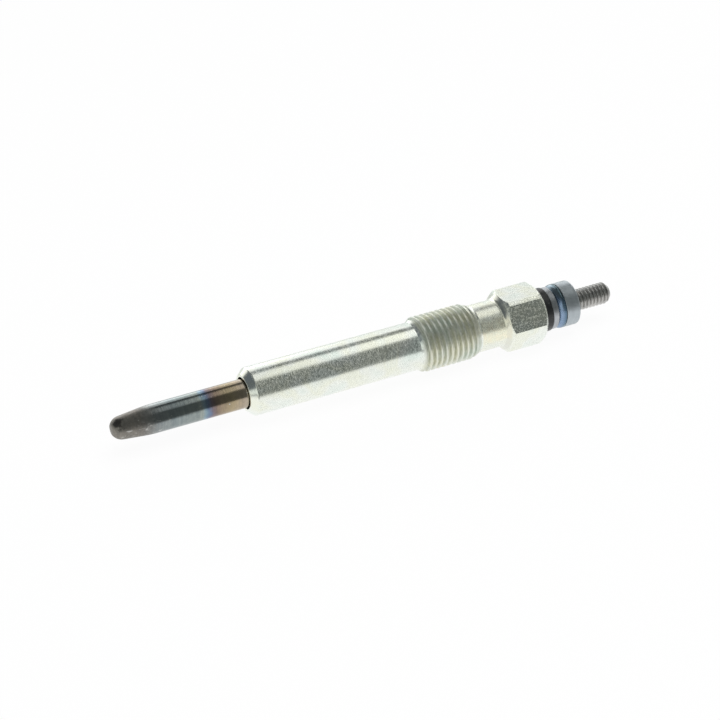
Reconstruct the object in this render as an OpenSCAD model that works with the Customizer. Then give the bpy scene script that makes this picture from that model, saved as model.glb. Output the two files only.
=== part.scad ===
// Sheathed-element diesel glow plug with an M10 x 1 body and an M4 terminal stud.
// It lies along X: the glow tube points to -X, the terminal stud to +X, one hex flat faces down.
// The origin is on the axis, in the middle of the body thread. All sizes are in millimetres.

/* [Shell] */
// Diameter of the smooth barrel between nose and thread
barrel_d = 8.4; // [7.8:0.1:9]
// Length of the barrel, from the nose face to the thread
barrel_l = 31.5; // [26:0.5:40]
// Diameter of the flat nose face, where the sealing cone starts
nose_d = 6.4; // [6.1:0.1:7]
// Length of the sealing cone at the nose
seat_l = 1.1; // [0.6:0.1:2]
// Outside diameter of the body thread
thread_d = 10; // [9.4:0.1:11]
// Length of the threaded stretch, with its two chamfers
thread_l = 11.7; // [9:0.1:16]
// Length of the chamfer where the thread starts
thread_lead = 1.1; // [0.3:0.1:1.5]
// Length of the chamfer where the thread runs out
thread_runout = 1.7; // [0.5:0.1:2.5]
// Diameter of the neck between thread and hexagon
neck_d = 8.4; // [7.4:0.1:9]
// Length of the neck
neck_l = 4.6; // [3:0.1:9]
// Size of the hexagon across its flats
hex_af = 10; // [9.6:0.1:12]
// Length of the hexagon, with the cones at both ends
hex_l = 8; // [6.5:0.1:12]
// How much is turned off the sharp corners, measured across them
corner_cut = 0.45; // [0.1:0.05:0.7]
// Angle between the axis and the cones at the ends of the hexagon
cone_angle = 52; // [40:1:65]
// Diameter of the flat face at the terminal end of the hexagon
hex_face_d = 9; // [7.8:0.1:9.4]

/* [Bores of the shell] */
// Gap round the glow tube at the mouth of the nose
mouth_gap = 0.3; // [0.15:0.05:0.5]
// Depth of the open mouth
mouth_depth = 2.5; // [1:0.5:5]
// Diameter of the long bore round the terminal rod
rod_bore_d = 4.4; // [4:0.1:4.6]
// Diameter of the pocket for the seal and the insulator
pocket_d = 6.4; // [6:0.1:7]
// Depth of that pocket
pocket_depth = 4.5; // [3:0.1:6]

/* [Glow tube] */
// Outside diameter of the glow tube
tube_d = 5; // [4.8:0.1:5.3]
// Wall of the glow tube
tube_wall = 0.6; // [0.5:0.05:0.65]
// Length that stands out of the nose
tube_out = 23.7; // [20:0.1:30]
// Length that is pressed into the shell
tube_in = 20; // [16:0.5:26]
// Diameter at the swaged tip
tip_d = 4; // [3.8:0.1:4.4]
// Length of the swaged taper
taper_l = 4.8; // [3:0.1:8]
// Diameter of the flat weld spot on the tip
weld_d = 1.7; // [1:0.1:2.4]
// Thickness of the closed end
end_wall = 1.4; // [1:0.1:2]

/* [Coils] */
// Mean diameter of both coils
coil_d = 2; // [1.9:0.05:2.1]
// Diameter of the coil wire
wire_d = 0.36; // [0.3:0.02:0.4]
// Straight lead from the weld in the tip to the first turn
lead_l = 0.8; // [0.6:0.1:1.5]
// Length of the heating coil
heater_l = 8.5; // [6:0.5:11]
// Number of turns of the heating coil
heater_turns = 11; // [8:1:14]
// Length of the control coil
control_l = 17; // [13:0.5:20]
// Number of turns of the control coil
control_turns = 14; // [10:1:18]

/* [Terminal rod] */
// Diameter of the rod in the shell, which is also the core of its thread under the nut
rod_d = 3.4; // [3:0.1:3.7]
// Diameter of the rod's tail in the glow tube
tail_d = 2.4; // [2.3:0.1:2.8]
// Length of the thin pin that the control coil is welded round
pin_l = 3; // [1.5:0.5:6]
// Outside diameter of the terminal thread
stud_d = 4; // [3.8:0.1:4.4]
// Length of thread that stands out of the round nut
stud_l = 7.4; // [5:0.1:12]
// Chamfer on the free end of the stud
stud_chamfer = 0.8; // [0.2:0.1:0.9]

/* [Seals and terminal stack] */
// Length of the seal in the mouth of the glow tube
seal_l = 2.5; // [1.5:0.5:5]
// Diameter of the insulator's flange
flange_d = 7.8; // [7:0.1:9]
// Thickness of the insulator's flange
flange_t = 1.6; // [1:0.1:3]
// Diameter of the steel washer
washer_d = 7.5; // [6.5:0.1:9]
// Thickness of the steel washer
washer_t = 1.1; // [0.6:0.1:2]
// Diameter of the insulating ring
ring_d = 7.9; // [7:0.1:9]
// Thickness of the insulating ring
ring_t = 1.5; // [1.4:0.1:2.4]
// Radius on the edge of the insulating ring that faces the washer
ring_round = 1.15; // [0.2:0.05:1.2]
// Diameter of the round nut
nut_d = 7.9; // [7:0.1:9]
// Length of the round nut
nut_l = 2.7; // [1.6:0.1:5]
// Radius on the outer edge of the round nut
nut_round = 0.4; // [0.2:0.1:1]
// How far the countersink of the nut's thread opens past the stud
nut_sink = 0.2; // [0.1:0.05:0.4]
// Small bevel on the other edges of the stack
edge_bevel = 0.12; // [0.05:0.01:0.2]

/* [Clearances] */
// Gap between pieces that are pressed or seated together
seat_gap = 0.02; // [0.01:0.01:0.05]
// Gap between the stud and the pieces that slide over it
slip_gap = 0.06; // [0.04:0.01:0.15]
// Gap between the terminal rod's shoulder and the end of the glow tube
shoulder_gap = 0.4; // [0.2:0.1:1]

/* [Hidden] */
$fn = 96;
coil_sides = 8;
coil_steps = 12;
// How far a cutting shape runs past the face it cuts
past_ends = 1;

// Stations along the axis, counted from the nose face towards the terminal
thread_start = barrel_l;
thread_end = thread_start + thread_l;
thread_mid = (thread_start + thread_lead + thread_end - thread_runout) / 2;
neck_end = thread_end + neck_l;
hex_end = neck_end + hex_l;
flange_end = hex_end + flange_t;
washer_end = flange_end + washer_t;
ring_end = washer_end + ring_t;
nut_end = ring_end + nut_l;
stud_end = nut_end + stud_l;
pocket_floor = hex_end - pocket_depth;

// The swaged tip: a dome cut flat at the weld, then a taper up to the tube's diameter
tip_r = tip_d / 2;
tip_centre = -tube_out + sqrt(pow(tip_r, 2) - pow(weld_d / 2, 2));
taper_end = tip_centre + taper_l;
tube_floor = -tube_out + end_wall;

// The coils, one after the other, and the rod's pin in the end of the second
coil_start = tube_floor + lead_l;
heater_end = coil_start + heater_l;
coil_end = heater_end + control_l;
pin_start = coil_end - pin_l;
coil_r = coil_d / 2;
wire_r = wire_d / 2;
pin_r = coil_r - wire_r - 3 * seat_gap;
seal_start = tube_in - seal_l;

// The ring seal fills the width between the rod and the pocket
o_ring_d = (pocket_d - rod_d) / 2 - 2 * seat_gap;
spigot_l = pocket_depth - o_ring_d;

// Radii of the hexagon: corners after turning, and the cones that end it
corner_r = (hex_af / cos(30) - corner_cut) / 2;
cone_in_l = (corner_r - neck_d / 2) / tan(cone_angle);
cone_out_l = (corner_r - hex_face_d / 2) / tan(cone_angle);

// Lays a shape that is drawn upright onto the plug's axis, with its zero at the nose face
module lay() {
    translate([-thread_mid, 0, 0]) rotate([0, 90, 0]) children();
}

// Revolves an outline of [radius, station] points round the plug's axis
module turned(points) {
    lay() rotate_extrude() polygon(points);
}

// A ring with two bevelled outer edges, from one station to the next
module bevelled_ring(bore_r, outer_r, from, to) {
    turned([
        [bore_r, from], [outer_r - edge_bevel, from], [outer_r, from + edge_bevel],
        [outer_r, to - edge_bevel], [outer_r - edge_bevel, to], [bore_r, to]
    ]);
}

// Outline of the inside of the glow tube, drawn in by a gap and ending at a station
module tube_inside(gap, top) {
    wide_r = tube_d / 2 - tube_wall - gap;
    narrow_r = tip_r - tube_wall - gap;
    polygon([
        [0, tube_floor + gap], [narrow_r, tube_floor + gap], [narrow_r, tip_centre],
        [wide_r, taper_end], [wide_r, top], [0, top]
    ]);
}

// Wire wound round the axis, each turn of equal pitch, with flat ends across the wire
module wound_wire(start, length, turns) {
    steps = turns * coil_steps;
    rings = [for (i = [0 : steps], j = [0 : coil_sides - 1])
        let (turn = 360 * i / coil_steps, side = 360 * (j + 0.5) / coil_sides,
            r = coil_r + wire_r * cos(side))
        [r * cos(turn), r * sin(turn), start + length * i / steps + wire_r * sin(side)]];
    walls = [for (i = [0 : steps - 1], j = [0 : coil_sides - 1])
        let (a = i * coil_sides + j, b = i * coil_sides + (j + 1) % coil_sides)
        each [[a, b, a + coil_sides], [b, b + coil_sides, a + coil_sides]]];
    first_end = [for (j = [coil_sides - 1 : -1 : 0]) j];
    last_end = [for (j = [0 : coil_sides - 1]) steps * coil_sides + j];
    polyhedron(points = rings, faces = concat(walls, [first_end, last_end]));
}

// Shell: one turned steel piece with its sealing cone, thread, neck, hexagon and stepped bore
module shell() {
    color("silver") difference() {
        union() {
            turned([
                [0, 0], [nose_d / 2, 0], [barrel_d / 2, seat_l], [barrel_d / 2, thread_start],
                [thread_d / 2, thread_start + thread_lead], [thread_d / 2, thread_end - thread_runout],
                [neck_d / 2, thread_end], [neck_d / 2, neck_end], [0, neck_end]
            ]);
            hexagon();
        }
        shell_bore();
    }
}

// The spanner hexagon: a six-sided bar inside a turned outline with a cone at each end
module hexagon() {
    intersection() {
        lay() translate([0, 0, neck_end])
            rotate([0, 0, 30]) cylinder(d = hex_af / cos(30), h = hex_l, $fn = 6);
        turned([
            [0, neck_end], [neck_d / 2, neck_end], [corner_r, neck_end + cone_in_l],
            [corner_r, hex_end - cone_out_l], [hex_face_d / 2, hex_end], [0, hex_end]
        ]);
    }
}

// The bore: open mouth, press seat for the glow tube, rod bore and seal pocket
module shell_bore() {
    mouth_r = tube_d / 2 + mouth_gap;
    press_r = tube_d / 2 + seat_gap;
    turned([
        [0, -past_ends], [mouth_r, -past_ends], [mouth_r, mouth_depth], [press_r, mouth_depth],
        [press_r, tube_in], [rod_bore_d / 2, tube_in], [rod_bore_d / 2, pocket_floor],
        [pocket_d / 2, pocket_floor], [pocket_d / 2, hex_end + past_ends], [0, hex_end + past_ends]
    ]);
}

// Glow tube: closed by its weld at the tip, swaged to a taper, pressed into the shell
module glow_tube() {
    color("dimgray") lay() rotate_extrude() difference() {
        union() {
            polygon([
                [0, tip_centre], [tip_r, tip_centre], [tube_d / 2, taper_end],
                [tube_d / 2, tube_in], [0, tube_in]
            ]);
            intersection() {
                translate([0, tip_centre]) circle(r = tip_r);
                translate([0, -tube_out]) square([tip_r, tube_out]);
            }
        }
        tube_inside(0, tube_in + past_ends);
    }
}

// Heating coil: wound from its lead on the weld in the tip
module heating_coil() {
    color("orangered") lay() {
        translate([coil_r, 0, tube_floor]) cylinder(r = wire_r, h = lead_l);
        wound_wire(coil_start, heater_l, heater_turns);
    }
}

// Control coil: carries on from the heating coil and ends round the pin of the terminal rod
module control_coil() {
    color("goldenrod") lay() wound_wire(heater_end, control_l, control_turns);
}

// Magnesia filling: packed round and inside the coils, with the space that the wire takes up
module magnesia_filling() {
    slot_in = pin_r + seat_gap;
    slot_out = coil_r + wire_r + 2 * seat_gap;
    tail_hole_r = tail_d / 2 + seat_gap;
    color("white") lay() difference() {
        rotate_extrude() difference() {
            tube_inside(seat_gap, seal_start);
            polygon([
                [slot_in, coil_start - wire_r - seat_gap], [slot_out, coil_start - wire_r - seat_gap],
                [slot_out, coil_end + wire_d], [tail_hole_r, coil_end + wire_d],
                [tail_hole_r, seal_start + past_ends], [0, seal_start + past_ends],
                [0, pin_start - seat_gap], [slot_in, pin_start - seat_gap]
            ]);
        }
        translate([coil_r, 0, tube_floor]) cylinder(r = wire_r + seat_gap, h = lead_l);
    }
}

// Tube seal: a soft sleeve round the rod's tail that shuts the mouth of the glow tube
module tube_seal() {
    color("saddlebrown") turned([
        [tail_d / 2 + seat_gap, seal_start], [tube_d / 2 - tube_wall - seat_gap, seal_start],
        [tube_d / 2 - tube_wall - seat_gap, tube_in], [tail_d / 2 + seat_gap, tube_in]
    ]);
}

// Terminal rod: pin for the coil, tail in the tube, rod through the shell and threaded stud.
// The thread is drawn plain: at its core inside the nut, at its full diameter past it.
module terminal_rod() {
    rod_start = tube_in + shoulder_gap;
    color("slategray") turned([
        [0, pin_start], [pin_r, pin_start], [pin_r, coil_end + wire_d],
        [tail_d / 2, coil_end + wire_d], [tail_d / 2, rod_start], [rod_d / 2, rod_start],
        [rod_d / 2, nut_end], [stud_d / 2, nut_end], [stud_d / 2, stud_end - stud_chamfer],
        [stud_d / 2 - stud_chamfer, stud_end], [0, stud_end]
    ]);
}

// Ring seal: a round-section ring on the floor of the pocket, pressed down by the insulator
module ring_seal() {
    color("black") lay() translate([0, 0, pocket_floor + o_ring_d / 2])
        rotate_extrude() translate([(pocket_d + rod_d) / 4, 0]) circle(d = o_ring_d);
}

// Insulator: a bush in the pocket with a flange on the end face of the hexagon
module insulator() {
    bore_r = stud_d / 2 + slip_gap;
    spigot_r = pocket_d / 2 - seat_gap;
    color("black") turned([
        [bore_r, hex_end - spigot_l], [spigot_r, hex_end - spigot_l], [spigot_r, hex_end],
        [flange_d / 2 - edge_bevel, hex_end], [flange_d / 2, hex_end + edge_bevel],
        [flange_d / 2, flange_end - edge_bevel], [flange_d / 2 - edge_bevel, flange_end],
        [bore_r, flange_end]
    ]);
}

// Steel washer: spreads the load of the nut on the insulator
module steel_washer() {
    color("darkgray") bevelled_ring(stud_d / 2 + slip_gap, washer_d / 2, flange_end, washer_end);
}

// Insulating ring: blue, its edge on the washer's side rounded
module insulating_ring() {
    bore_r = stud_d / 2 + slip_gap;
    outer_r = ring_d / 2;
    round_r = outer_r - ring_round;
    color("cornflowerblue") lay() translate([0, 0, washer_end]) rotate_extrude() {
        polygon([
            [bore_r, 0], [round_r, 0], [round_r, ring_round], [outer_r, ring_round],
            [outer_r, ring_t - edge_bevel], [outer_r - edge_bevel, ring_t], [bore_r, ring_t]
        ]);
        intersection() {
            translate([round_r, ring_round]) circle(r = ring_round);
            translate([round_r, 0]) square(ring_round);
        }
    }
}

// Round nut: screwed down on the stack, its bore at the core of the thread, its outer edge rounded
module round_nut() {
    bore_r = rod_d / 2 + seat_gap;
    sink_r = stud_d / 2 + nut_sink;
    round_r = nut_d / 2 - nut_round;
    color("lightslategray") lay() translate([0, 0, ring_end]) rotate_extrude() {
        polygon([
            [bore_r, 0], [nut_d / 2 - edge_bevel, 0], [nut_d / 2, edge_bevel],
            [nut_d / 2, nut_l - nut_round], [round_r, nut_l - nut_round], [round_r, nut_l],
            [sink_r, nut_l], [bore_r, nut_l - sink_r + bore_r]
        ]);
        translate([round_r, nut_l - nut_round]) circle(r = nut_round);
    }
}

shell();
glow_tube();
heating_coil();
control_coil();
magnesia_filling();
tube_seal();
terminal_rod();
ring_seal();
insulator();
steel_washer();
insulating_ring();
round_nut();
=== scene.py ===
"""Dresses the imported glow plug: threads, heat tints, plating, studio and camera.

The plug's lengths are in millimetres and its stations count from the nose face towards the
stud, as in the part's source; at() turns them into Blender's metres. The stage is in metres.
An ease is how far a corner is cut back along both its sides.
"""

import math

import bmesh
import bpy
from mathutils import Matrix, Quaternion, Vector


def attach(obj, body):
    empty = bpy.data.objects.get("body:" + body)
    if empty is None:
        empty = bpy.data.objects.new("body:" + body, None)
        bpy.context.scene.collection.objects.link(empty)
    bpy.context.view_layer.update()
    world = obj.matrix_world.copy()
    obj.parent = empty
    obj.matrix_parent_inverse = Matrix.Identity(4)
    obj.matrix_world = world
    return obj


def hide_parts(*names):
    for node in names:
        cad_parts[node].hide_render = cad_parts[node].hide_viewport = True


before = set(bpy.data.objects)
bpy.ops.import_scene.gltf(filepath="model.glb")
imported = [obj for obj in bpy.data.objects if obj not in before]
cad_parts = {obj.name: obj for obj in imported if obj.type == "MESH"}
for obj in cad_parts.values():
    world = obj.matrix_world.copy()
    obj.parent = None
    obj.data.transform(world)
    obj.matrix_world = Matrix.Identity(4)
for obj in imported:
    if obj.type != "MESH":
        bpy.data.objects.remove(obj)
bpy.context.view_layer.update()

MM = 0.001
# Station of the frame's origin, the middle of the body thread
ORIGIN = 37.05

# Shell
NOSE_R, BARREL_R, SEAT_L = 3.2, 4.2, 1.1
MOUTH_R, MOUTH_DEPTH, PRESS_R = 2.8, 2.5, 2.52
THREAD_START, THREAD_END = 31.5, 43.2
THREAD_LEAD, THREAD_RUNOUT = 1.1, 1.7
BODY_PITCH, BODY_CREST_R = 1.0, 4.90
NECK_R, NECK_END, HEX_END = 4.2, 47.8, 55.8
HEX_FLAT_R, HEX_FACE_R, CORNER_CUT = 5.0, 4.5, 0.225
CORNER_R = HEX_FLAT_R / math.cos(math.radians(30)) - CORNER_CUT
CONE_SLOPE = math.tan(math.radians(52))
ROD_BORE_R, POCKET_R, POCKET_FLOOR = 2.2, 3.2, 51.3
NOSE_EASE, SEAT_EASE, RUNOUT_EASE, NECK_EASE, FACE_EASE = 0.1, 0.16, 0.16, 0.45, 0.06
# Station on the run-out's chamfer where the helix stops
THREAD_STOP = THREAD_END - 0.3

# Glow tube
TUBE_R, TUBE_IN, TIP, TIP_R = 2.5, 20.0, -23.7, 2.0
WELD_R, TAPER_L, TUBE_BORE_R, TIP_BORE_R, TUBE_FLOOR = 0.85, 4.8, 1.9, 1.4, -22.3
TIP_CENTRE = TIP + math.sqrt(TIP_R ** 2 - WELD_R ** 2)
TAPER_EASE, TUBE_EASE = 1.5, 0.08

# Terminal rod and stack
PIN_R, PIN_START, TAIL_START, TAIL_R = 0.76, 1.0, 4.36, 1.2
ROD_START, ROD_R = 20.4, 1.7
STUD_PITCH, STUD_CREST_R, STUD_END, STUD_CHAMFER = 0.7, 1.92, 70.1, 0.75
# Insets of two rings on the stud's end face
STUD_RIM, STUD_CENTRE = 0.08, 0.3
FLANGE_R, FLANGE_END, SPIGOT_R, SPIGOT_START = 3.9, 57.4, 3.18, 52.76
WASHER_R, WASHER_END = 3.75, 58.5
RING_R, RING_END, RING_ROUND, RING_EDGE = 3.95, 60.0, 1.15, 0.34
NUT_R, NUT_END, NUT_BORE_R, NUT_SINK_R, NUT_ROUND = 3.95, 62.7, 1.72, 2.2, 0.4
STACK_BORE_R = 2.06
SPIGOT_EASE, FLANGE_EASE, FLANGE_END_EASE = 0.1, 0.12, 0.16
WASHER_EASE, WASHER_END_EASE = 0.12, 0.14
NUT_EASE, SINK_EASE = 0.12, 0.03
# Stations where the stud's thread starts and opens, in the nut's countersink, and stops
STUD_START, STUD_OPEN, STUD_STOP = NUT_END - 0.5, NUT_END - 0.42, STUD_END - 0.03

ROUND_SIDES, ROD_SIDES = 144, 96
# Width of the rim that keeps the shading of a flat face flat beside a rounding
FLAT_RIM = 0.1
# Points nearer than this, in metres, become one
WELD_GAP = 2e-7
SHARP_EDGE = math.radians(19)


def at(radius, station, turn):
    """The point at a radius, a station and an angle round the axis, in metres."""
    return ((station - ORIGIN) * MM, radius * math.cos(turn) * MM, radius * math.sin(turn) * MM)


def even_turns(sides):
    return [2 * math.pi * i / sides for i in range(sides + 1)]


def softened(outline, steps=4, past=0.5):
    """Eases the corners of an outline of (radius, station, ease) points, in its order.

    A corner with an ease is cut back that far along both its sides and bent round. One more
    point, a share of the ease past each end, keeps the shading of the flat sides flat.
    """
    points = []
    for i, (radius, station, ease) in enumerate(outline):
        corner = Vector((radius, station))
        if ease == 0:
            points.append(tuple(corner))
            continue
        before = Vector(outline[i - 1][:2]) - corner
        after = Vector(outline[(i + 1) % len(outline)][:2]) - corner
        start = corner + before.normalized() * ease
        end = corner + after.normalized() * ease
        points.append(tuple(start.lerp(corner, -past)))
        for step in range(steps + 1):
            share = step / steps
            points.append(tuple(start.lerp(corner, share).lerp(corner.lerp(end, share), share)))
        points.append(tuple(end.lerp(corner, -past)))
    return points


def arc(radius, station, bend, start, stop, steps):
    """Outline points on a circle round a centre; 0 degrees is outwards and 90 to the stud."""
    points = []
    for step in range(steps + 1):
        swing = math.radians(start + (stop - start) * step / steps)
        points.append((radius + bend * math.cos(swing), station + bend * math.sin(swing), 0))
    return points


def skin(name, rows, turns, loop):
    """Makes a mesh piece from rows of (radius, station) points, one point for each turn."""
    mesh = bpy.data.meshes.new(name)
    work = bmesh.new()
    grid = [[work.verts.new(at(r, u, turn)) for (r, u), turn in zip(row, turns)] for row in rows]
    pairs = list(zip(grid, grid[1:]))
    if loop:
        pairs.append((grid[-1], grid[0]))
    for low, high in pairs:
        for j in range(len(turns) - 1):
            work.faces.new((low[j], low[j + 1], high[j + 1], high[j]))
    bmesh.ops.remove_doubles(work, verts=work.verts, dist=WELD_GAP)
    bmesh.ops.recalc_face_normals(work, faces=work.faces)
    for face in work.faces:
        face.smooth = True
    work.to_mesh(mesh)
    work.free()
    mesh.set_sharp_from_angle(angle=SHARP_EDGE)
    piece = bpy.data.objects.new(name, mesh)
    bpy.context.collection.objects.link(piece)
    return piece


def round_rows(points, turns):
    return [[point] * len(turns) for point in points]


def turned(name, outline, loop=True):
    """A piece that is round all over, from an outline with eased corners."""
    turns = even_turns(ROUND_SIDES)
    return skin(name, round_rows(softened(outline), turns), turns, loop)


# One pitch of a metric thread from crest to crest: share of the pitch, share of the depth
THREAD_FORM = [
    (0, 0), (0.10, 0.0), (0.14, 0.06), (0.27, 0.5), (0.40, 0.93), (0.45, 0.99),
    (0.5, 1), (0.55, 0.99), (0.60, 0.93), (0.73, 0.5), (0.86, 0.06), (0.90, 0.0),
]
THREAD_DEPTH = 0.56


def thread_rows(start, end, pitch, crest_r, limit, turns):
    """Rows that follow the helix of a right-hand thread between two stations.

    The ends of the rows are held at the two stations, and limit(station) is the largest
    radius that the chamfers leave there.
    """
    rows = []
    for lap in range(math.ceil((end - start) / pitch) + 2):
        for share, depth in THREAD_FORM:
            row = []
            for turn in turns:
                climb = (turn - turns[0]) / (2 * math.pi)
                station = min(max(start + pitch * (lap - 1 + share + climb), start), end)
                radius = crest_r - THREAD_DEPTH * pitch * depth
                row.append((min(radius, limit(station)), station))
            rows.append(row)
    return rows


def hexagon_turns():
    """Angles round the shell, with one on each edge between a flat and a turned corner."""
    corner = math.radians(30) - math.acos(HEX_FLAT_R / CORNER_R)
    flat = math.radians(60) - 2 * corner
    corner_steps, flat_steps = 6, 26
    turns = [-corner]
    for side in range(6):
        first = math.radians(60) * side - corner
        turns += [first + 2 * corner * (i + 1) / corner_steps for i in range(corner_steps)]
        turns += [first + 2 * corner + flat * (i + 1) / flat_steps for i in range(flat_steps)]
    return turns


def hexagon_r(turn):
    """Radius of the hexagon at an angle: flats at the top and bottom, corners turned off."""
    off_flat = (turn + math.radians(60)) % math.radians(60) - math.radians(30)
    return min(HEX_FLAT_R / math.cos(off_flat), CORNER_R)


def hexagon_rows(turns):
    """Rows over the hexagon, from the cone at the neck to the cone at the end face."""
    ease, inset = 0.1, 0.018
    # Rows across an edge: shares of the ease along the axis and of the inset
    steps = [(-2, 0), (-1, 0), (-0.4, 0.6), (0.4, 0.6), (1, 0), (2, 0)]
    rows = []
    for cone_r, cone_end, way in ((NECK_R, NECK_END, 1), (HEX_FACE_R, HEX_END, -1)):
        for along, dip in steps:
            row = []
            for turn in turns:
                top = hexagon_r(turn)
                edge = cone_end + way * (top - cone_r) / CONE_SLOPE
                radius = top + min(way * along, 0) * ease * CONE_SLOPE - dip * inset
                row.append((radius, edge + along * ease))
            rows.append(row)
    return rows


def shell_limit(station):
    """Largest radius that the chamfers of the body thread leave at a station."""
    lead = BARREL_R + (station - THREAD_START) * (BODY_CREST_R - BARREL_R) / THREAD_LEAD
    runout = NECK_R + (THREAD_END - station) * (BODY_CREST_R - NECK_R) / THREAD_RUNOUT
    return min(lead, runout)


def make_shell():
    turns = hexagon_turns()
    nose = softened([
        (PRESS_R, MOUTH_DEPTH, 0), (MOUTH_R, MOUTH_DEPTH, 0), (MOUTH_R, 0, NOSE_EASE),
        (NOSE_R, 0, NOSE_EASE), (BARREL_R, SEAT_L, SEAT_EASE), (BARREL_R, THREAD_START, 0),
    ])
    # The last point only gives the way that the cone goes, and the hexagon's rows take over
    neck = softened([
        (shell_limit(THREAD_STOP), THREAD_STOP, 0), (NECK_R, THREAD_END, RUNOUT_EASE),
        (NECK_R, NECK_END, NECK_EASE), (NECK_R + CONE_SLOPE, NECK_END + 1, 0),
    ])[:-1]
    back = softened([
        (HEX_FACE_R, HEX_END, FACE_EASE), (POCKET_R, HEX_END, FACE_EASE),
        (POCKET_R, POCKET_FLOOR, 0), (ROD_BORE_R, POCKET_FLOOR, 0), (ROD_BORE_R, TUBE_IN, 0),
        (PRESS_R, TUBE_IN, 0),
    ])
    rows = round_rows(nose, turns)
    rows += thread_rows(THREAD_START, THREAD_STOP, BODY_PITCH, BODY_CREST_R, shell_limit, turns)
    rows += round_rows(neck, turns) + hexagon_rows(turns) + round_rows(back, turns)
    return skin("plated_shell", rows, turns, loop=True)


def make_glow_tube():
    """Closed tube: a dome round the weld that runs into the swaged taper without a crease."""
    weld_edge, weld_rise, dome_end = 0.12, 0.03, -6
    dome_start = -math.degrees(math.acos(WELD_R / TIP_R))
    outline = [(0, TIP, 0), (WELD_R - weld_edge, TIP, 0), (WELD_R, TIP + weld_rise, 0)]
    outline += arc(0, TIP_CENTRE, TIP_R, dome_start, dome_end, steps=16)[1:]
    outline += [
        (TUBE_R, TIP_CENTRE + TAPER_L, TAPER_EASE), (TUBE_R, TUBE_IN, TUBE_EASE),
        (TUBE_BORE_R, TUBE_IN, TUBE_EASE), (TUBE_BORE_R, TIP_CENTRE + TAPER_L, 0),
        (TIP_BORE_R, TIP_CENTRE, 0), (TIP_BORE_R, TUBE_FLOOR, 0), (0, TUBE_FLOOR, 0),
    ]
    return turned("tinted_glow_tube", outline, loop=False)


def stud_limit(station):
    """Largest radius of the stud: its chamfered end, and its root in the nut's countersink."""
    root = ROD_R + max(station - STUD_OPEN, 0)
    chamfer = STUD_CREST_R - STUD_CHAMFER + STUD_END - station
    return min(root, chamfer)


def make_terminal_rod():
    turns = even_turns(ROD_SIDES)
    inside = [
        (0, PIN_START), (PIN_R, PIN_START), (PIN_R, TAIL_START), (TAIL_R, TAIL_START),
        (TAIL_R, ROD_START), (ROD_R, ROD_START), (ROD_R, STUD_START),
    ]
    end_r = STUD_CREST_R - STUD_CHAMFER
    end = [(end_r - STUD_RIM, STUD_END), (end_r - STUD_CENTRE, STUD_END), (0, STUD_END)]
    rows = round_rows(inside, turns)
    rows += thread_rows(STUD_START, STUD_STOP, STUD_PITCH, STUD_CREST_R, stud_limit, turns)
    rows += round_rows(end, turns)
    return skin("threaded_terminal_rod", rows, turns, loop=False)


def make_insulator():
    return turned("black_insulator", [
        (STACK_BORE_R, SPIGOT_START, 0), (SPIGOT_R, SPIGOT_START, SPIGOT_EASE),
        (SPIGOT_R, HEX_END, 0), (FLANGE_R, HEX_END, FLANGE_EASE),
        (FLANGE_R, FLANGE_END, FLANGE_END_EASE), (STACK_BORE_R, FLANGE_END, 0),
    ])


def make_washer():
    return turned("grey_washer", [
        (STACK_BORE_R, FLANGE_END, 0), (WASHER_R, FLANGE_END, WASHER_EASE),
        (WASHER_R, WASHER_END, WASHER_END_EASE), (STACK_BORE_R, WASHER_END, 0),
    ])


def make_ring():
    """Blue ring: well rounded at the washer, and with a small eased edge at the nut.

    The arc of that edge stops short of the face, and a narrow bevel leads on to it.
    """
    round_r, edge_r, edge_stop = RING_R - RING_ROUND, RING_R - RING_EDGE, 70
    outline = [(STACK_BORE_R, WASHER_END, 0), (round_r - FLAT_RIM, WASHER_END, 0)]
    outline += arc(round_r, WASHER_END + RING_ROUND, RING_ROUND, -90, 0, steps=12)
    outline += arc(edge_r, RING_END - RING_EDGE, RING_EDGE, 0, edge_stop, steps=12)
    outline += [(edge_r, RING_END, 0), (STACK_BORE_R, RING_END, 0)]
    return turned("blue_ring", outline)


def make_nut():
    """Round nut: its outer edge rounded, its bore countersunk for the stud's thread."""
    round_r, sink = NUT_R - NUT_ROUND, NUT_SINK_R - NUT_BORE_R
    outline = [(NUT_BORE_R, RING_END, 0), (NUT_R, RING_END, NUT_EASE)]
    outline += arc(round_r, NUT_END - NUT_ROUND, NUT_ROUND, 0, 90, steps=7)
    outline += [(round_r - FLAT_RIM, NUT_END, 0), (NUT_SINK_R, NUT_END, SINK_EASE),
                (NUT_BORE_R, NUT_END - sink, 0)]
    return turned("round_terminal_nut", outline)


class Flow:
    """A shader socket that takes part in Python sums."""

    def __init__(self, sheet, socket):
        self.sheet = sheet
        self.socket = socket

    def __add__(self, other):
        return self.sheet.maths("ADD", self, other)

    __radd__ = __add__

    def __mul__(self, other):
        return self.sheet.maths("MULTIPLY", self, other)

    __rmul__ = __mul__

    def __sub__(self, other):
        return self.sheet.maths("SUBTRACT", self, other)

    def __rsub__(self, other):
        return self.sheet.maths("SUBTRACT", other, self)

    def __truediv__(self, other):
        return self.sheet.maths("DIVIDE", self, other)

    def __rtruediv__(self, other):
        return self.sheet.maths("DIVIDE", other, self)


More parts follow.
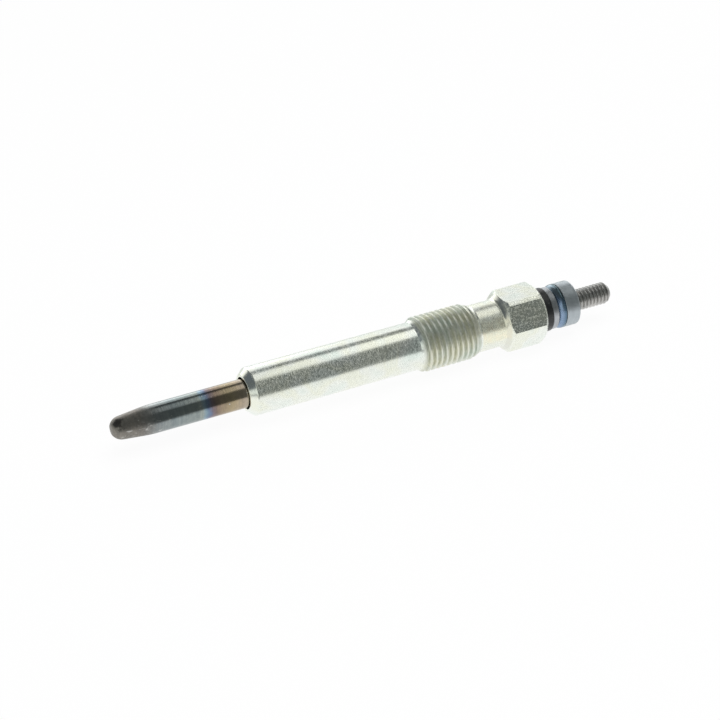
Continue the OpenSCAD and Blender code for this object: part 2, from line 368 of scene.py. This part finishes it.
class Sheet:
    """A node tree that is written down node by node."""

    def __init__(self, owner):
        owner.use_nodes = True
        self.tree = owner.node_tree
        self.tree.nodes.clear()

    def node(self, kind, settings=None, sockets=None, out=0):
        """Adds a node: its settings first, then its sockets, and gives one of its outputs."""
        made = self.tree.nodes.new(kind)
        for key, value in (settings or {}).items():
            if key == "stops":
                set_stops(made.color_ramp, value)
            else:
                setattr(made, key, value)
        for key, value in (sockets or {}).items():
            if isinstance(value, Flow):
                self.tree.links.new(value.socket, made.inputs[key])
            else:
                made.inputs[key].default_value = value
        return Flow(self, made.outputs[out]) if made.outputs else None

    def maths(self, operation, *values):
        return self.node("ShaderNodeMath", {"operation": operation}, dict(enumerate(values)))

    def place(self):
        return self.node("ShaderNodeTexCoord", out="Object")

    def part(self, vector, axis):
        return self.node("ShaderNodeSeparateXYZ", None, {0: vector}, axis)

    def station(self, place):
        """Station along the plug in millimetres."""
        return self.part(place, "X") / MM + ORIGIN

    def level(self, place):
        """Height above the plug's axis in millimetres."""
        return self.part(place, "Z") / MM

    def span(self, operation, first, second):
        """The length of a vector or the distance of two points, in millimetres."""
        return self.node("ShaderNodeVectorMath", {"operation": operation},
                         {0: first, 1: second}, "Value") / MM

    def stretched(self, vector, factors):
        return self.node("ShaderNodeVectorMath", {"operation": "MULTIPLY"},
                         {0: vector, 1: factors})

    def noise(self, vector, scale, detail=2.0, rough=0.5, swirl=0.0):
        return self.node("ShaderNodeTexNoise", None, {
            "Vector": vector, "Scale": scale, "Detail": detail, "Roughness": rough,
            "Distortion": swirl})

    def step(self, value, low, high):
        """0 below low, 1 above high and smooth between; low may be the larger one."""
        return self.node("ShaderNodeMapRange", {"interpolation_type": "SMOOTHSTEP"}, {
            "Value": value, "From Min": low, "From Max": high})

    def band(self, value, rise, fall):
        """1 between two soft edges, each given from where it is 0 to where it is 1."""
        return self.step(value, *rise) * self.step(value, *fall)

    def ramp(self, value, stops):
        return self.node("ShaderNodeValToRGB", {"stops": stops}, {0: value})

    def mix(self, share, first, second, blend="MIX"):
        return self.node("ShaderNodeMix", {"data_type": "RGBA", "blend_type": blend},
                         {0: share, 6: first, 7: second}, 2)

    def bump(self, height, strength, depth):
        return self.node("ShaderNodeBump", None, {
            "Height": height, "Strength": strength, "Distance": depth * MM}, "Normal")

    def surface(self, sockets):
        """The Principled shader, led to the output."""
        shader = self.node("ShaderNodeBsdfPrincipled", None, sockets)
        self.node("ShaderNodeOutputMaterial", None, {"Surface": shader})


def set_stops(ramp, stops):
    while len(ramp.elements) < len(stops):
        ramp.elements.new(1.0)
    for element, (place, colour) in zip(ramp.elements, stops):
        element.position = place
        element.color = solid(*colour)


def solid(r, g, b):
    return (r, g, b, 1.0)


def finish(name):
    material = bpy.data.materials.new(name)
    return material, Sheet(material)


def zinc_plate():
    """Bright zinc plate on the shell.

    The nose cone is clean and the barrel has turning marks with dull grain between them. The
    thread is dull, and painted shade, mottled, darkens its grooves. The neck is warm with
    tarnish.
    The cone behind it, here the collar, is smooth and a little soiled. The hexagon is grainy,
    its end chamfer dull.
    """
    material, sheet = finish("zinc_plate")
    place = sheet.place()
    station = sheet.station(place)
    streaks = sheet.noise(sheet.stretched(place, (6800, 2300, 2300)), 1.0, 2.0, 0.6)
    clouds = sheet.noise(place, 190.0, 2.0, 0.5, 0.4)
    grain = sheet.noise(place, 3400.0, 2.0, 0.6)
    mottle = sheet.noise(place, 1500.0, 3.0, 0.7)
    pits = sheet.step(sheet.noise(place, 2600.0, 2.0), 0.66, 0.74)

    thread = sheet.band(station, (THREAD_START + 0.1, THREAD_START + 0.7),
                        (THREAD_END - 0.1, THREAD_END - 0.6))
    neck_edge = (NECK_END - 0.15, NECK_END + 0.05)
    collar_edge = (NECK_END + 0.5, NECK_END + 0.8)
    neck = sheet.band(station, (THREAD_END - 0.2, THREAD_END + 0.2), neck_edge[::-1])
    collar = sheet.band(station, neck_edge, collar_edge[::-1])
    hexagon = sheet.band(station, collar_edge, (HEX_END - 0.3, HEX_END - 0.6))
    chamfer = sheet.step(station, HEX_END - 0.5, HEX_END - 0.35)
    off_nose = sheet.step(station, SEAT_L - 0.2, SEAT_L + 0.3)
    off_axis = sheet.span("LENGTH", sheet.stretched(place, (0, 1, 1)), (0, 0, 0))
    groove = thread * sheet.step(off_axis, BODY_CREST_R - 0.05, BODY_CREST_R - 0.30)

    tint = sheet.ramp(clouds, [
        (0.30, (0.80, 0.88, 0.82)), (0.44, (0.89, 0.92, 0.86)), (0.56, (0.88, 0.90, 0.78)),
        (0.70, (0.85, 0.90, 0.84))])
    worn = sheet.ramp(clouds, [(0.40, (0.63, 0.67, 0.56)), (0.60, (0.70, 0.68, 0.52))])
    olive = sheet.mix(thread * (0.20 + mottle * 0.6), tint, worn)
    tarnish = sheet.ramp(mottle, [(0.36, (1.0, 0.92, 0.68)), (0.60, (0.95, 0.95, 0.74))])
    patch = 0.15 + sheet.band(sheet.level(place), (3.4, 2.4), (-1.6, -0.4)) * 0.5
    warm = sheet.mix((neck + collar) * patch, olive, tarnish)
    # Painted shade: the thread's grooves are darkened towards olive grey, mottled, in place of
    # the shade between the flanks
    groove_shade = groove * sheet.step(mottle, 0.42, 0.60)
    groove_shaded = sheet.mix(groove_shade * 0.16, warm, solid(0.36, 0.36, 0.29))
    colour = sheet.mix(pits * 0.2 + collar * 0.3, groove_shaded, solid(0.50, 0.50, 0.46))

    dull = sheet.step(streaks, 0.35, 0.69) * off_nose
    crystals = sheet.step(grain, 0.45, 0.63)
    roughness = (0.19 + dull * 0.06 + thread * 0.12 + groove * 0.16 + neck * 0.07 + pits * 0.1
                 + hexagon * crystals * 0.12)
    height = grain * (hexagon * 0.16 + 0.03) + mottle * thread * 0.45 + streaks * 0.03
    metallic = (1 - dull * (0.33 - neck * 0.22 - (collar + hexagon) * 0.33 - thread * 0.12)
                - neck * (mottle * 0.5 - 0.08) - hexagon * crystals * mottle * 0.44
                - chamfer * 0.45)
    sheet.surface({
        "Base Color": colour, "Metallic": metallic, "Roughness": roughness,
        "Normal": sheet.bump(height, 1.0, 0.09)})
    return material


def tinted_alloy():
    """Heat-tinted alloy of the glow tube: dull oxide at the tip, then steel, blue and bronze."""
    oxide_edge, worn_rise, worn_fall = (-15.4, -18.6), (-13.0, -15.0), (-23.4, -22.4)
    burnt_spot = at(1.6, -22.9, math.radians(120))
    material, sheet = finish("tinted_alloy")
    place = sheet.place()
    wander = sheet.noise(place, 420.0, 3.0, 0.6)
    station = sheet.station(place) + (wander - 0.5) * 1.6
    streaks = sheet.noise(sheet.stretched(place, (2600, 160, 160)), 1.0, 3.0, 0.6)
    grain = sheet.noise(place, 3000.0, 3.0, 0.65)
    specks = sheet.step(sheet.noise(place, 1700.0, 1.0), 0.735, 0.765)
    blotch = sheet.noise(place, 1300.0, 3.0, 0.75)
    scratches = sheet.noise(sheet.stretched(place, (900, 2300, 2300)), 1.0, 2.0)

    along = (station - TIP) / (-TIP)
    tints = sheet.ramp(along, [
        (0.00, (0.30, 0.28, 0.25)), (0.20, (0.28, 0.26, 0.235)), (0.31, (0.29, 0.31, 0.31)),
        (0.45, (0.28, 0.32, 0.325)), (0.61, (0.31, 0.345, 0.335)), (0.645, (0.33, 0.37, 0.35)),
        (0.672, (0.27, 0.37, 0.44)), (0.700, (0.17, 0.22, 0.33)), (0.728, (0.23, 0.185, 0.205)),
        (0.76, (0.29, 0.22, 0.175)), (0.87, (0.41, 0.335, 0.215)), (0.96, (0.46, 0.38, 0.29)),
        (1.0, (0.45, 0.395, 0.325))])
    polish = sheet.ramp(streaks * 0.5 + blotch * 0.5, [
        (0.36, (0.76, 0.79, 0.81)), (0.62, (1.06, 1.06, 1.04))])
    polished = sheet.mix(1.0, tints, polish, "MULTIPLY")
    oxide = sheet.step(station, *oxide_edge)
    flakes = oxide * sheet.step(grain, 0.40, 0.62)
    scaled = sheet.mix(flakes * 0.3, polished, solid(0.14, 0.13, 0.12))
    worn_side = sheet.step(sheet.level(place), 1.8, 0.2)
    worn = sheet.band(station, worn_rise, worn_fall) * worn_side
    scuffs = sheet.step(scratches, 0.62, 0.68) * worn
    bright = sheet.mix((specks + scuffs) * 0.75, scaled, solid(0.62, 0.62, 0.59))
    from_burn = sheet.span("DISTANCE", place, burnt_spot)
    burnt = sheet.step(from_burn + (blotch - 0.5) * 4.0, 1.1, 0.5)
    colour = sheet.mix(burnt * 0.62, bright, solid(0.035, 0.03, 0.028))

    roughness = 0.11 + streaks * 0.08 + oxide * (0.24 + grain * 0.16)
    height = streaks * 0.12 + oxide * grain * 0.35
    sheet.surface({
        "Base Color": colour, "Metallic": 1.0, "Roughness": roughness,
        "Normal": sheet.bump(height, 1.0, 0.04)})
    return material


def turned_steel(name, light, dark, rough, dull=0.0):
    """Satin steel with fine turning marks round the axis, and a share that is dull."""
    material, sheet = finish(name)
    place = sheet.place()
    streaks = sheet.noise(sheet.stretched(place, (2400, 260, 260)), 1.0, 3.0, 0.6)
    clouds = sheet.noise(place, 700.0, 3.0, 0.6)
    grain = sheet.noise(place, 3600.0, 2.0, 0.6)
    colour = sheet.mix(sheet.step(clouds * 0.6 + streaks * 0.4, 0.35, 0.65), dark, light)
    sheet.surface({
        "Base Color": colour, "Metallic": 1.0 - dull, "Roughness": rough + grain * 0.12,
        "Normal": sheet.bump(streaks * 0.2 + grain * 0.2, 1.0, 0.05)})
    return material


def moulded(name, light, dark, rough, shine=0.5, grain_scale=3000.0):
    """Moulded plastic, rubber or ceramic: cloudy colour under a fine grain."""
    material, sheet = finish(name)
    place = sheet.place()
    clouds = sheet.noise(place, 700.0, 3.0, 0.6)
    grain = sheet.noise(place, grain_scale, 3.0, 0.6)
    dust = sheet.step(sheet.noise(place, 2600.0, 1.0), 0.66, 0.74)
    colour = sheet.mix(sheet.step(clouds, 0.35, 0.65), dark, light)
    dusty = sheet.mix(dust * 0.15, colour, solid(0.5, 0.5, 0.5))
    sheet.surface({
        "Base Color": dusty, "Roughness": rough + grain * 0.14, "Specular IOR Level": shine,
        "Normal": sheet.bump(grain * 0.3, 1.0, 0.05)})
    return material


def blue_finish():
    """Lustrous blue of the insulating ring, duller below; painted shade deepens it at the nut
    and greys it on top.
    """
    material, sheet = finish("blue_ring_finish")
    place = sheet.place()
    clouds = sheet.noise(place, 900.0, 3.0, 0.6)
    grain = sheet.noise(place, 3000.0, 3.0, 0.6)
    station = sheet.station(place) + (clouds - 0.5) * 0.4
    # Painted shade: the blue is deeper towards the nut, in the joint between ring and nut
    nut_side_shade = sheet.step(station, WASHER_END + 0.55, RING_END - 0.3)
    level = sheet.level(place)
    top, below = sheet.step(level, 2.6, 3.4), sheet.step(level, 3.0, 1.2)
    blue = sheet.mix(nut_side_shade, solid(0.25, 0.35, 0.50), solid(0.12, 0.20, 0.28))
    # Painted shade: the top of the ring is made greyer and darker
    top_shaded_blue = sheet.mix(top, blue, solid(0.92, 0.84, 0.68), "MULTIPLY")
    cloudy = sheet.mix(sheet.step(clouds, 0.45, 0.7) * 0.25, top_shaded_blue, solid(0.24, 0.36, 0.42))
    sheet.surface({
        "Base Color": cloudy, "Metallic": 1 - below * 0.26,
        "Roughness": 0.20 + grain * 0.14, "Coat Weight": 0.05,
        "Normal": sheet.bump(grain * 0.2, 1.0, 0.04)})
    return material


def put(piece, material):
    piece.data.materials.clear()
    piece.data.materials.append(material)


def stands_for(piece, node, material):
    put(piece, material)
    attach(piece, "root")
    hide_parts(node)


stands_for(make_shell(), "shell", zinc_plate())
stands_for(make_glow_tube(), "glow_tube", tinted_alloy())
stands_for(make_terminal_rod(), "terminal_rod", turned_steel(
    "dark_stud_steel", solid(0.58, 0.575, 0.555), solid(0.47, 0.465, 0.45), 0.28))
stands_for(make_insulator(), "insulator", moulded(
    "black_moulding", solid(0.014, 0.015, 0.016), solid(0.006, 0.007, 0.008), 0.26, 0.6))
stands_for(make_washer(), "steel_washer", turned_steel(
    "grey_washer_steel", solid(0.54, 0.565, 0.59), solid(0.42, 0.44, 0.46), 0.36))
stands_for(make_ring(), "insulating_ring", blue_finish())
stands_for(make_nut(), "round_nut", turned_steel(
    "blue_grey_nut_steel", solid(0.53, 0.58, 0.605), solid(0.45, 0.495, 0.52), 0.38, 0.08))

seal = moulded("seal_rubber_finish", solid(0.10, 0.075, 0.06), solid(0.07, 0.05, 0.045), 0.55)
hidden_finishes = {
    "heating_coil": turned_steel(
        "heater_wire_finish", solid(0.50, 0.46, 0.42), solid(0.40, 0.37, 0.34), 0.32),
    "control_coil": turned_steel(
        "control_wire_finish", solid(0.58, 0.57, 0.54), solid(0.48, 0.47, 0.45), 0.30),
    "magnesia_filling": moulded(
        "packed_magnesia", solid(0.86, 0.85, 0.82), solid(0.76, 0.75, 0.72), 0.72, 0.3, 2600.0),
    "tube_seal": seal,
    "ring_seal": seal,
}
for node, material in hidden_finishes.items():
    put(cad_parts[node], material)


def make_floor():
    """White sweep under the plug. The eye sees it white but for a faint shadow.

    In the metal it is white close in front of the plug, dim further out in front and past the
    stud, and pale grey behind.
    """
    size, drop = 3.0, -HEX_FLAT_R * MM
    mesh = bpy.data.meshes.new("floor")
    mesh.from_pydata(
        [(-size, -size, drop), (size, -size, drop), (size, size, drop), (-size, size, drop)],
        [], [(0, 1, 2, 3)])
    floor = bpy.data.objects.new("floor", mesh)
    bpy.context.collection.objects.link(floor)
    material, sheet = finish("white_floor")
    ray = "ShaderNodeLightPath"
    eye, metal = sheet.node(ray, out="Is Camera Ray"), sheet.node(ray, out="Is Glossy Ray")
    clear = sheet.node(ray, out="Is Transmission Ray")
    place = sheet.place()
    along, depth = sheet.part(place, "X"), sheet.part(place, "Y")
    white_depth = sheet.maths("MAXIMUM", 0.11 + 2 * along, 0.03)
    close = sheet.step(depth / white_depth, -1.75, -0.45) * sheet.step(along, 0.055, 0.036)
    behind = sheet.step(depth, 0.0, 0.03)
    front = sheet.mix(metal * (1 - close), solid(1, 1, 1), solid(0.22, 0.23, 0.225))
    tone = sheet.mix(metal * behind, front, solid(0.76, 0.79, 0.78))
    white = sheet.node("ShaderNodeEmission", None, {"Color": tone, "Strength": 1.0})
    paper = sheet.node("ShaderNodeBsdfDiffuse", None, {"Color": solid(0.94, 0.94, 0.94)})
    both = sheet.node("ShaderNodeMixShader", None, {
        0: (eye + clear) * 0.95 + metal, 1: paper, 2: white})
    sheet.node("ShaderNodeOutputMaterial", None, {"Surface": both})
    put(floor, material)


def make_studio():
    """The room as the metal sees it.

    It is dark in front and white behind, with a light box overhead to the right and a pale
    panel at the far right. On the left it is pale low down, and dark high up and behind.
    """
    world = bpy.data.worlds.new("studio")
    bpy.context.scene.world = world
    sheet = Sheet(world)
    way = sheet.node("ShaderNodeTexCoord", out="Generated")
    across, height = sheet.part(way, "X"), sheet.part(way, "Z")
    forward = 0 - sheet.part(way, "Y")
    slant = sheet.step(across, 0.345, 0.28) * 0.055 - sheet.step(across, 0.05, -0.25) * 0.13
    climb = sheet.maths("ARCTAN2", height, forward) / math.pi + slant
    dim, gap, white = (0.145, 0.156, 0.152), (0.13, 0.14, 0.14), (1.11, 1.11, 1.11)
    front = [(0.00, (0.27, 0.28, 0.275)), (0.08, dim)]
    back = [(0.76, gap), (0.795, white)]
    bare = sheet.ramp(climb, front + back + [(0.87, white), (0.94, (2.5, 2.5, 2.5))])
    box = (1.4, 1.4, 1.37)
    boxed = sheet.ramp(climb, front + [(0.40, dim), (0.44, box), (0.62, box), (0.66, gap)]
                       + back + [(0.86, (0.85, 0.87, 0.86)), (0.94, (0.80, 0.82, 0.82))])
    room = sheet.mix(sheet.band(across, (0.24, 0.36), (0.50, 0.42)), bare, boxed)
    high = sheet.step(height - 0.9 * (1 + across), 0.15, 0.24)
    behind = sheet.step(forward, -0.3, -0.5)
    shade = sheet.maths("MAXIMUM", high, behind)
    left = sheet.mix(shade, solid(0.80, 0.82, 0.79), solid(0.11, 0.125, 0.14))
    side = across + sheet.step(forward, 0.1, -0.4) * 0.28
    sided = sheet.mix(sheet.step(side, -0.15, -0.43), room, left)
    walls = sheet.mix(sheet.step(across, 0.90, 0.97), sided, solid(0.62, 0.64, 0.62))
    light = sheet.node("ShaderNodeBackground", None, {"Color": walls, "Strength": 1.0})
    sheet.node("ShaderNodeOutputWorld", None, {"Surface": light})


def make_lamp():
    """A soft lamp overhead for the dull surfaces and the shadow."""
    lamp = bpy.data.lights.new("soft_lamp", "AREA")
    lamp.shape = "RECTANGLE"
    lamp.size, lamp.size_y = 0.7, 0.5
    lamp.energy = 3.2
    holder = bpy.data.objects.new("soft_lamp", lamp)
    holder.location = (0.05, -0.05, 0.6)
    holder.visible_glossy = False
    bpy.context.collection.objects.link(holder)


def make_camera():
    """The photograph's view: a long lens from the tip's side, looking down on the plug."""
    camera = bpy.data.cameras.new("camera")
    camera.lens, camera.sensor_width = 130.0, 36.0
    camera.clip_start = 0.01
    holder = bpy.data.objects.new("camera", camera)
    aim_station, aim_level, distance = 21.66, 0.127, 0.4432
    aim = Vector(at(aim_level, aim_station, math.radians(90)))
    turn, fall, roll = math.radians(24.53), math.radians(32.5), math.radians(-1.86)
    level = math.cos(fall)
    way = Vector((math.sin(turn) * level, math.cos(turn) * level, -math.sin(fall)))
    holder.location = aim - way * distance
    holder.rotation_mode = "QUATERNION"
    holder.rotation_quaternion = way.to_track_quat("-Z", "Y") @ Quaternion((0, 0, 1), roll)
    bpy.context.collection.objects.link(holder)
    bpy.context.scene.camera = holder


make_floor()
make_studio()
make_lamp()
make_camera()
bpy.context.scene.view_settings.view_transform = "Standard"
